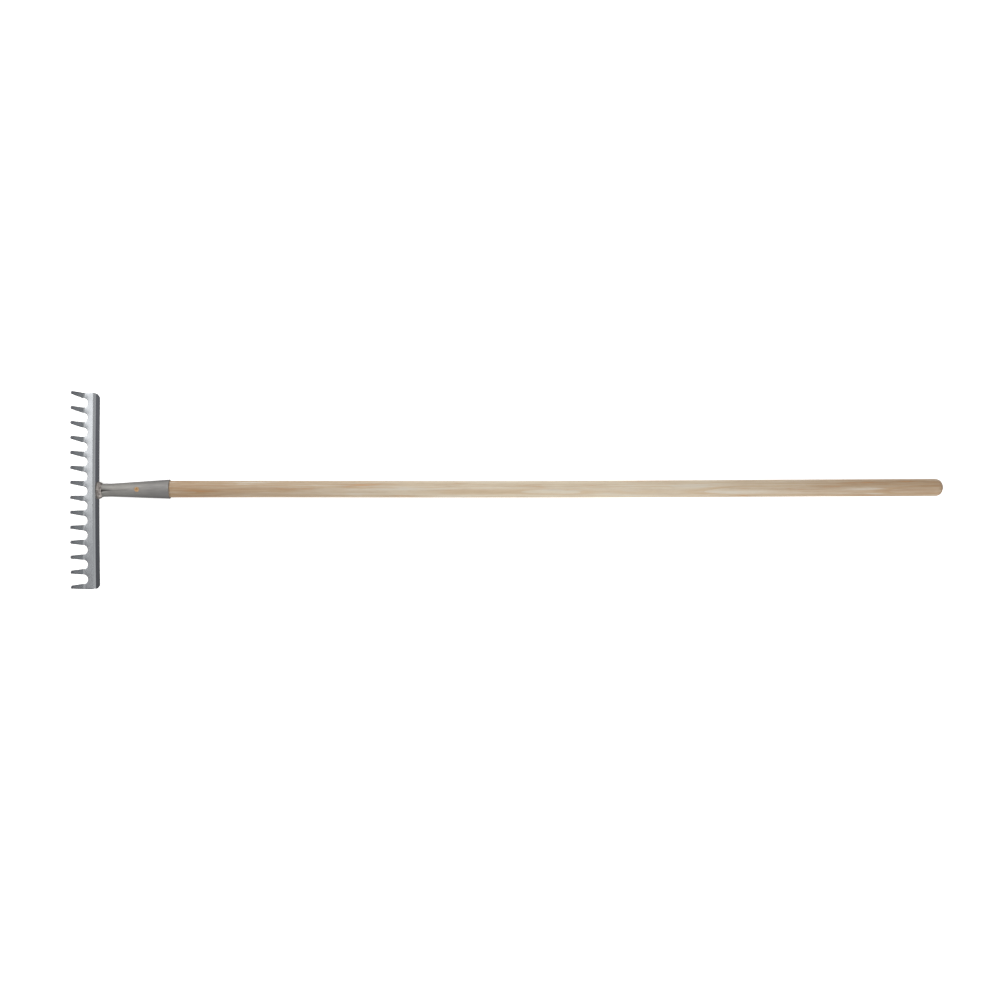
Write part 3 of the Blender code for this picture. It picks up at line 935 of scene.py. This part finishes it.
@dataclass
class RolledSocket(Piece):
    """The socket: a cone rolled from sheet, pressed to an oval where it meets the flange.

    Each share of the painted shade in its seam says how dark it is, where it starts to fade and where
    it is gone. Distances along the socket are from the weld.
    """

    title: ClassVar[str] = "rolled_socket"
    cad_node: ClassVar[str] = "socket"
    slot: ClassVar[Slot] = Slot.SOCKET
    finish: ClassVar[Finish] = RolledSheet()

    layout: RakeLayout
    wall: float = 0.002
    mouth_width: float = 0.0345
    neck_width: float = 0.0234
    neck_height: float = 0.0125
    neck_at: float = 0.024
    weld_width: float = 0.0242
    pressed_end: float = 0.038
    seam_depth: float = 0.0026
    seam_half_width: float = 0.0032
    seam_start: float = 0.004
    seam_fade: float = 0.026
    seam_end: float = 0.062
    seam_aside: float = -0.0010
    joint_depth: float = 0.00022
    joint_half_width: float = 0.0006
    joint_fade: float = 0.018
    # The painted shade in the seam's crease: its half width, and its shares along the socket.
    seam_shade_half_width: float = 0.0012
    seam_shade: tuple[Triple, ...] = ((0.3, 0.050, 0.062), (0.5, 0.012, 0.030))
    flange_angle: float = math.radians(82.0)
    mouth_edge: float = 0.0005
    screw_at: float = 0.072
    dish_width: float = 0.0096
    dish_depth: float = 0.0031
    dish_flat: float = 0.82
    screw_reach: float = 0.0062
    around: int = 180
    crowding: float = 0.3
    long_steps: int = 130
    screw_steps: int = 40
    edge_steps: int = 5
    inner_steps: int = 40

    def half_width(self, along: Array) -> Array:
        """Return the outer half width: a straight cone past the neck, and a small flare before it.

        Args:
            along: distances from the weld.

        Returns:
            The half width at each.
        """
        reach = self.layout.socket_length - self.neck_at
        widening = self.mouth_width - self.neck_width
        cone = self.neck_width + widening * np.maximum(along - self.neck_at, 0.0) / reach
        flare = (self.weld_width - self.neck_width) * (1.0 - smoothstep(along, 0.0, self.neck_at))
        return (cone + flare) / 2.0

    def half_height(self, along: Array) -> Array:
        """Return the outer half height: the half width, pressed towards the neck's height."""
        squash = 1.0 - smoothstep(along, 0.0, self.pressed_end)
        return self.half_width(along) * (1.0 - squash) + self.neck_height / 2.0 * squash

    def oval(self, along: Array, angle: Array) -> tuple[Array, Array, Array, Array]:
        """Return the ellipse that the socket is across, and the way out of it.

        Args:
            along: how far each point is from the weld.
            angle: where it is round the socket, with the top at a quarter turn.

        Returns:
            y and z of each point, and y and z of the unit normal there.
        """
        wide, high = self.half_width(along), self.half_height(along)
        normal_y, normal_z = np.cos(angle) / wide, np.sin(angle) / high
        length = np.hypot(normal_y, normal_z)
        return wide * np.cos(angle), high * np.sin(angle), normal_y / length, normal_z / length

    def outside(self, along: Array, angle: Array, inward: Array) -> Array:
        """Return points of the socket.

        The folded seam along the top is a Gaussian valley that gets shallow towards the mouth, with
        the joint as a fine line in it, and the screw's dish is a cone. Near the weld the rings lean
        with the flange.

        Args:
            along: how far each point is from the weld.
            angle: where it is round the socket, with the top at a quarter turn.
            inward: how far inside the outer face it is.

        Returns:
            The points in space.
        """
        y, z, normal_y, normal_z = self.oval(along, angle)
        top = np.where(np.sin(angle) > 0.0, 1.0, 0.0)
        fade = 1.0 - smoothstep(along, self.seam_start, self.seam_fade)
        off = y - self.seam_aside
        valley = self.seam_depth * fade * np.exp(-2.0 * (off / self.seam_half_width) ** 2)
        joint = 1.0 - smoothstep(along, self.seam_end - self.joint_fade, self.seam_end)
        valley = valley + self.joint_depth * joint * np.exp(-((off / self.joint_half_width) ** 2))
        reach = np.hypot(along - self.screw_at, y)
        dish = self.dish_depth * np.clip(1.0 - reach / (self.dish_width / 2.0), 0.0, 1.0)
        dish = np.minimum(dish, self.dish_depth * self.dish_flat)
        z = z - top * (valley + dish)
        y = y - normal_y * inward
        z = z - normal_z * inward
        lean = (1.0 - smoothstep(along, 0.0, self.neck_at)) / math.tan(self.flange_angle)
        x = self.layout.flange_x + self.layout.seat_gap + along - z * lean
        return np.stack([x, y + self.layout.aside(along), z + self.layout.axis_z], axis=-1)

    def surface(self) -> Surface:
        """Carry the wall's closed profile round the socket: out along it, round the rim and back.

        The places round the socket crowd to the top by a sine of the turn, for the seam and the
        dish. The painted shade in the seam is a Gaussian across it.

        Returns:
            The closed surface, with the attribute seam, which holds the painted shade of the seam's
            crease.
        """
        length = self.layout.socket_length
        beside = np.linspace(-self.screw_reach, self.screw_reach, self.screw_steps)
        plain = np.linspace(0.0, length - self.mouth_edge, self.long_steps)
        along = np.unique(np.concatenate([plain, self.screw_at + beside]))
        turn = np.linspace(0.0, QUARTER, self.edge_steps)[1:]
        rim_along = length - self.mouth_edge * (1.0 - np.sin(turn))
        rim_in = self.mouth_edge * (1.0 - np.cos(turn))
        inner = np.linspace(length - self.mouth_edge, 0.0, self.inner_steps)
        path = np.concatenate([along, rim_along, rim_along[::-1], inner])
        depth = np.concatenate([
            np.zeros(len(along)), rim_in, self.wall - rim_in[::-1], np.full(len(inner), self.wall),
        ])
        round_turn = full_turn(self.around)
        angle = QUARTER + round_turn - self.crowding * np.sin(round_turn)
        grid_along, grid_angle = np.meshgrid(path, angle, indexing="ij")
        grid_depth = np.repeat(depth[:, None], self.around, axis=1)
        points = self.outside(grid_along, grid_angle, grid_depth)
        off = points[..., 1] - self.layout.aside(grid_along) - self.seam_aside
        # Painted shade in the seam's crease, strongest near the weld and fading along the socket.
        strength = sum(
            share * (1.0 - smoothstep(grid_along, start, end)) for share, start, end in self.seam_shade
        )
        seam = np.exp(-((off / self.seam_shade_half_width) ** 2)) * strength
        seam = seam * np.where(np.sin(grid_angle) > 0.0, 1.0, 0.0)
        numbers = ring_numbers(len(path), self.around)
        faces = quads_of(np.vstack([numbers, numbers[:1]]))
        return Surface(points.reshape(-1, 3), faces, attributes={"seam": seam.ravel()})


@dataclass
class WeldRun(Piece):
    """The fillet weld round the neck, with the ripples that a torch leaves."""

    title: ClassVar[str] = "weld_run"
    cad_node: ClassVar[str] = "weld_bead"
    slot: ClassVar[Slot] = Slot.WELD
    finish: ClassVar[Finish] = WeldMetal()
    crease: ClassVar[float] = 60.0

    layout: RakeLayout
    socket: RolledSocket
    leg: float = 0.0036
    reach: float = 0.0078
    open_angle: float = math.radians(76.0)
    draw_in: float = 0.06
    ripple: float = 0.00030
    ripple_length: float = 0.0024
    ripple_rise: float = 0.7
    least_out: float = 0.0004
    behind: float = 0.00033
    end_length: float = 0.0025
    end_size: float = 0.35
    around: int = 420
    across: int = 14

    def surface(self) -> Surface:
        """Carry a fillet round the neck.

        At turn t the section is leg * cos t out of the neck and reach * sin t up from the flange. It
        is drawn in a little at its crown, which swells by a smooth step of the path's length that
        rises slowly and falls fast on each ripple. Both ends of the run get smaller, and two more
        points close each section behind.

        Returns:
            The closed surface, with the attribute ripple, which places the painted highlight on the
            crests.
        """
        reach = math.pi - self.open_angle / 2.0
        angle = QUARTER + np.linspace(-reach, reach, self.around)
        wide = float(self.socket.half_width(np.float64(0.0)))
        high = float(self.socket.half_height(np.float64(0.0)))
        speed = np.hypot(wide * np.sin(angle), high * np.cos(angle))
        path = np.concatenate([[0.0], np.cumsum(speed[:-1] * np.diff(angle))])
        wave = (path / self.ripple_length) % 1.0
        falling = (1.0 - wave) / (1.0 - self.ripple_rise)
        rising = wave / self.ripple_rise
        shape = smoothstep(np.where(wave < self.ripple_rise, rising, falling), 0.0, 1.0)
        sweep = np.linspace(0.0, QUARTER, self.across)
        grid_angle, sweep = np.meshgrid(angle, sweep, indexing="ij")
        ripple = np.repeat(shape[:, None], self.across, axis=1)
        crown = np.sin(2.0 * sweep)
        bulge = 1.0 - self.draw_in * crown
        swell = self.ripple * (ripple - 1.0) * crown
        size = smoothstep(np.minimum(path, path[-1] - path), 0.0, self.end_length)[:, None]
        size = self.end_size + (1.0 - self.end_size) * size
        out = np.maximum(self.leg * np.cos(sweep) * bulge + swell, self.least_out) * size
        up = (self.reach * np.sin(sweep) * bulge + swell) * size
        behind_out = np.full((self.around, 2), self.behind)
        behind_up = np.stack([up[:, -1], np.zeros(self.around)], axis=-1)
        back = self.place(np.repeat(angle[:, None], 2, axis=1), behind_out, behind_up)
        grid = np.concatenate([self.place(grid_angle, out, up), back], axis=1)
        centres = np.stack([grid[0].mean(0), grid[-1].mean(0)])
        # The painted highlight follows the ripples, and the points behind take it in full.
        tone = np.concatenate([ripple, np.ones((self.around, 2))], axis=1).ravel()
        return Surface(
            np.concatenate([grid.reshape(-1, 3), centres]),
            *capped_tube(self.around, grid.shape[1], turned=True),
            {"ripple": np.concatenate([tone, [1.0, 1.0]])},
        )

    def place(self, angle: Array, out: Array, up: Array) -> Array:
        """Return points of the weld.

        Args:
            angle: where each point is round the neck.
            out: how far it stands out of the neck.
            up: how far it is from the flange.

        Returns:
            The points in space.
        """
        y, z, normal_y, normal_z = self.socket.oval(up, angle)
        y, z = y + normal_y * out, z + normal_z * out
        lean = z / math.tan(self.socket.flange_angle)
        x = self.layout.flange_x + self.layout.seat_gap + up - lean
        return np.stack([x, y + self.layout.aside(up), z + self.layout.axis_z], axis=-1)


@dataclass
class TurnedHandle(Piece):
    """The handle: turned, with a waist, a swelling grip and a domed end."""

    title: ClassVar[str] = "turned_handle"
    cad_node: ClassVar[str] = "handle"
    slot: ClassVar[Slot] = Slot.HANDLE
    finish: ClassVar[Finish] = TurnedAsh()

    layout: RakeLayout
    socket: RolledSocket
    waist_width: float = 0.0300
    grip_width: float = 0.0306
    grip_length: float = 0.235
    taper_length: float = 0.525
    dome: float = 0.0125
    fit: float = 0.00025
    tip_chamfer: float = 0.002
    end_grain_from: float = 0.25
    end_grain_to: float = 1.2
    around: int = 128
    dome_steps: int = 28
    inside_steps: int = 10
    long_steps: int = 180

    def radius(self, along: Array) -> Array:
        """Return the radius at a distance from the weld, in the socket and out of it.

        Args:
            along: distances from the weld.

        Returns:
            The handle's radius at each.
        """
        mouth = self.layout.socket_length
        inside = self.socket.half_width(np.minimum(along, mouth)) - self.socket.wall - self.fit
        grip_at = self.layout.handle_end - self.grip_length
        waist_at = grip_at - self.taper_length
        waist, grip = self.waist_width / 2.0, self.grip_width / 2.0
        outside = inside + (waist - inside) * smoothstep(along, mouth, waist_at)
        outside = outside + (grip - waist) * smoothstep(along, waist_at, grip_at)
        return np.where(along <= mouth, inside, outside)

    def surface(self) -> Surface:
        """Turn the profile about the handle's middle line.

        The dome is an ellipse: at turn t it is grip * cos t wide and dome * sin t past its start.

        Returns:
            The closed surface, with the attribute end_grain.
        """
        layout, mouth, end = self.layout, self.layout.socket_length, self.layout.handle_end
        tip = mouth - layout.insert
        turn = np.linspace(0.0, QUARTER, self.dome_steps + 1)[1:-1]
        along = np.concatenate([
            [tip], np.linspace(tip + self.tip_chamfer, mouth, self.inside_steps)[:-1],
            np.linspace(mouth, end - self.dome, self.long_steps),
            end - self.dome + self.dome * np.sin(turn),
        ])
        radius = self.radius(along)
        radius[0] -= self.tip_chamfer
        radius[-len(turn) :] = self.grip_width / 2.0 * np.cos(turn)
        middle, angle = layout.aside(along), full_turn(self.around)
        x = np.repeat((layout.flange_x + along)[:, None], self.around, axis=1)
        y = radius[:, None] * np.cos(angle) + middle[:, None]
        z = radius[:, None] * np.sin(angle) + layout.axis_z
        grid = np.stack([x, y, z], axis=-1).reshape(-1, 3)
        poles = [
            [layout.flange_x + tip, middle[0], layout.axis_z],
            [layout.end_x, middle[-1], layout.axis_z],
        ]
        steep = np.zeros(len(along))
        steep[-len(turn) :] = smoothstep(turn, self.end_grain_from, self.end_grain_to)
        steep[0] = 1.0
        grain = np.concatenate([np.repeat(steep, self.around), [1.0, 1.0]])
        faces = capped_tube(len(along), self.around)
        return Surface(np.concatenate([grid, poles]), *faces, {"end_grain": grain})


@dataclass
class SocketScrew(Piece):
    """The countersunk screw, with a cross recess and a tapered point."""

    title: ClassVar[str] = "socket_screw"
    cad_node: ClassVar[str] = "handle_screw"
    slot: ClassVar[Slot] = Slot.SCREW
    finish: ClassVar[Finish] = YellowZinc()
    crease: ClassVar[float] = 35.0

    layout: RakeLayout
    socket: RolledSocket
    head_width: float = 0.0086
    cone: float = 0.0026
    rim: float = 0.0003
    recess: float = 0.0004
    shank_width: float = 0.0045
    length: float = 0.0175
    point: float = 0.004
    cross_reach: float = 0.0024
    cross_taper: float = 0.55
    cross_width: float = 0.0006
    cross_soft: tuple[float, float] = (0.7, 1.1)
    cross_depth: float = 0.0013
    around: int = 96
    face_steps: int = 34

    def surface(self) -> Surface:
        """Turn the screw's profile about its axis and sink a cross into its head.

        The cross is 1 where the smaller of |x| and |y| is under its half width and the larger is
        under its reach, with soft sides, and it gets deeper towards the middle.

        Returns:
            The closed surface.
        """
        head, shank = self.head_width / 2.0, self.shank_width / 2.0
        face = np.linspace(0.0, head - self.rim, self.face_steps)[1:]
        radius = np.concatenate([face, [head, shank, shank]])
        height = np.concatenate([
            np.zeros(len(face)), [-self.rim, -self.cone, self.point - self.length],
        ])
        angle = full_turn(self.around)
        x, y = radius[:, None] * np.cos(angle), radius[:, None] * np.sin(angle)
        z = np.repeat(height[:, None], self.around, axis=1)
        small, large = np.minimum(np.abs(x), np.abs(y)), np.maximum(np.abs(x), np.abs(y))
        inner, outer = (self.cross_width * share for share in self.cross_soft)
        far = smoothstep(large, self.cross_reach * self.cross_taper, self.cross_reach)
        cross = (1.0 - smoothstep(small, inner, outer)) * (1.0 - far)
        z[: len(face)] -= self.cross_depth * cross[: len(face)]
        grid = np.stack([x, y, z], axis=-1).reshape(-1, 3)
        points = np.concatenate([grid, [[0.0, 0.0, -self.cross_depth], [0.0, 0.0, -self.length]]])
        spot = np.float64(self.socket.screw_at)
        top = float(self.socket.half_height(spot)) - self.recess
        place = [
            self.layout.flange_x + spot, float(self.layout.aside(spot)), self.layout.axis_z + top,
        ]
        faces = capped_tube(len(radius), self.around, turned=True)
        return Surface(points + np.array(place), *faces)


@dataclass
class SoftBox:
    """One soft studio light."""

    name: str
    place: Triple
    aim: Triple
    size: tuple[float, float]
    power: float

    def build(self) -> bpy.types.Object:
        """Hang the light and turn it to its aim.

        Returns:
            The light.
        """
        lamp = bpy.data.lights.new(self.name, "AREA")
        lamp.shape = "RECTANGLE"
        lamp.size, lamp.size_y = self.size
        lamp.energy = self.power
        made = bpy.data.objects.new(self.name, lamp)
        made.location = self.place
        towards = Vector(self.aim) - Vector(self.place)
        made.rotation_euler = towards.to_track_quat("-Z", "Y").to_euler()
        bpy.context.scene.collection.objects.link(made)
        return made


@dataclass
class Studio:
    """A pale floor, soft lights and the camera, straight over the rake as in the photograph."""

    paper: MattPaper = MattPaper()
    floor_reach: float = 45.0
    room: tuple[tuple[float, str], ...] = (
        (-0.93, "5E5E62"), (-0.80, "5C5C60"), (-0.45, "7C7C82"), (0.0, "F2F2F2"), (0.35, "E8E8E8"),
        (0.8, "8C8C8E"), (1.0, "A4A4A6"),
    )
    gains: tuple[tuple[float, Steps], ...] = (
        (1.10, (("X", 0.10, 0.35), ("Y", -0.01, 0.11), ("Z", -0.10, -0.40))),
        (0.12, (("X", 0.10, 0.35), ("Z", -0.10, -0.40))),
        (-0.27, (("X", 0.30, 0.70), ("Y", -0.018, 0.010))),
    )
    lens: float = 61.4
    sensor: float = 36.0
    sight: float = 60.0
    centre: tuple[float, float] = (-0.0207, -0.0161)
    distance: float = 3.0417
    rise: float = 0.0548
    boxes: tuple[SoftBox, ...] = (
        SoftBox("overhead", (-2.45, 0.88, 3.9), (-2.45, 0.88, 0.0), (3.9, 1.5), 24.0),
        SoftBox("canopy", (2.05, 0.1, 3.9), (2.05, 0.1, 0.0), (5.1, 3.2), 13.0),
        SoftBox("left_box", (-1.8, 1.5, 1.7), (-0.75, 0.0, 0.0), (1.4, 1.2), 42.0),
        SoftBox("right_box", (1.6, -1.6, 1.8), (0.65, 0.0, 0.0), (1.6, 1.2), 38.0),
    )

    def floor(self) -> bpy.types.Object:
        """Lay the floor. It takes light and shadow, and the bare metal doesn't mirror it.

        Returns:
            The floor.
        """
        points = self.floor_reach * np.array([
            [-1.0, -1.0, 0.0], [1.0, -1.0, 0.0], [1.0, 1.0, 0.0], [-1.0, 1.0, 0.0],
        ])
        made = Surface(points, np.array([[0, 1, 2, 3]])).build("floor", self.paper.make())
        made.visible_glossy = False
        return made

    def world(self) -> None:
        """Make the room: grey overhead, palest at the horizon, and dark where only metal looks."""
        world = bpy.data.worlds.new("studio")
        bpy.context.scene.world = world
        world.use_nodes = True
        tree = world.node_tree
        tree.nodes.clear()
        way = node(tree, "TexCoord").outputs["Object"]
        height = node(tree, "SeparateXYZ", {"Vector": way}).outputs["Z"]
        share = node(tree, "MapRange", {"Value": height, "From Min": -1.0})
        ramp = node(tree, "ValToRGB", {"Fac": share})
        stops = ramp.color_ramp.elements
        places = [((rise + 1.0) / 2.0, linear(tone)) for rise, tone in self.room]
        for stop, (position, colour) in zip(stops, (places[0], places[-1])):
            stop.position, stop.color = position, colour
        for position, colour in places[1:-1]:
            stops.new(position).color = colour
        light = node(tree, "Background", {"Color": ramp, "Strength": self.uneven(tree, way)})
        node(tree, "OutputWorld", {"Surface": light})

    def uneven(self, tree: Tree, way: Socket) -> bpy.types.Node:
        """Add how much brighter or darker than the plain room it is in each direction.

        It is the product of 1 + gain * a * b * c over the gains, where a, b and c each step from 0
        to 1 along one axis.

        Args:
            tree: the world's node tree.
            way: the direction that a ray looks in.

        Returns:
            The node that holds the factor.
        """
        axes = node(tree, "SeparateXYZ", {"Vector": way}).outputs
        total = 1.0
        for share, steps in self.gains:
            for axis, low, high in steps:
                reach = {"Value": axes[axis], "From Min": low, "From Max": high}
                step = node(tree, "MapRange", reach, interpolation_type="SMOOTHSTEP")
                share = node(tree, "Math", {0: step, 1: share}, operation="MULTIPLY")
            factor = node(tree, "Math", {0: share, 1: 1.0}, operation="ADD")
            total = node(tree, "Math", {0: factor, 1: total}, operation="MULTIPLY")
        return total

    def camera(self, layout: RakeLayout) -> bpy.types.Object:
        """Hang the camera over the rake.

        Args:
            layout: where the rake's plate lies.

        Returns:
            The camera.
        """
        data = bpy.data.cameras.new("camera")
        data.lens, data.sensor_width = self.lens, self.sensor
        data.clip_end, data.shift_y = self.sight, self.rise
        made = bpy.data.objects.new("camera", data)
        aside = self.rise * self.sensor / self.lens * self.distance
        made.location = (self.centre[0], self.centre[1] - aside, layout.plate_z + self.distance)
        bpy.context.scene.collection.objects.link(made)
        bpy.context.scene.camera = made
        return made

    def build(self, layout: RakeLayout) -> None:
        """Set up the floor, the room, the lights and the camera.

        Args:
            layout: where the rake's plate lies.
        """
        self.floor()
        self.world()
        for box in self.boxes:
            box.build()
        self.camera(layout)
        bpy.context.scene.view_settings.view_transform = "Standard"


def main() -> None:
    """Build the rake and the studio, and note each piece's box."""
    logging.basicConfig(level=logging.INFO, format="%(message)s")
    layout = RakeLayout()
    socket = RolledSocket(layout)
    PressedHead(layout).build()
    socket.build()
    WeldRun(layout, socket).build()
    TurnedHandle(layout, socket).build()
    SocketScrew(layout, socket).build()
    Studio().build(layout)


if __name__ == "__main__":
    main()
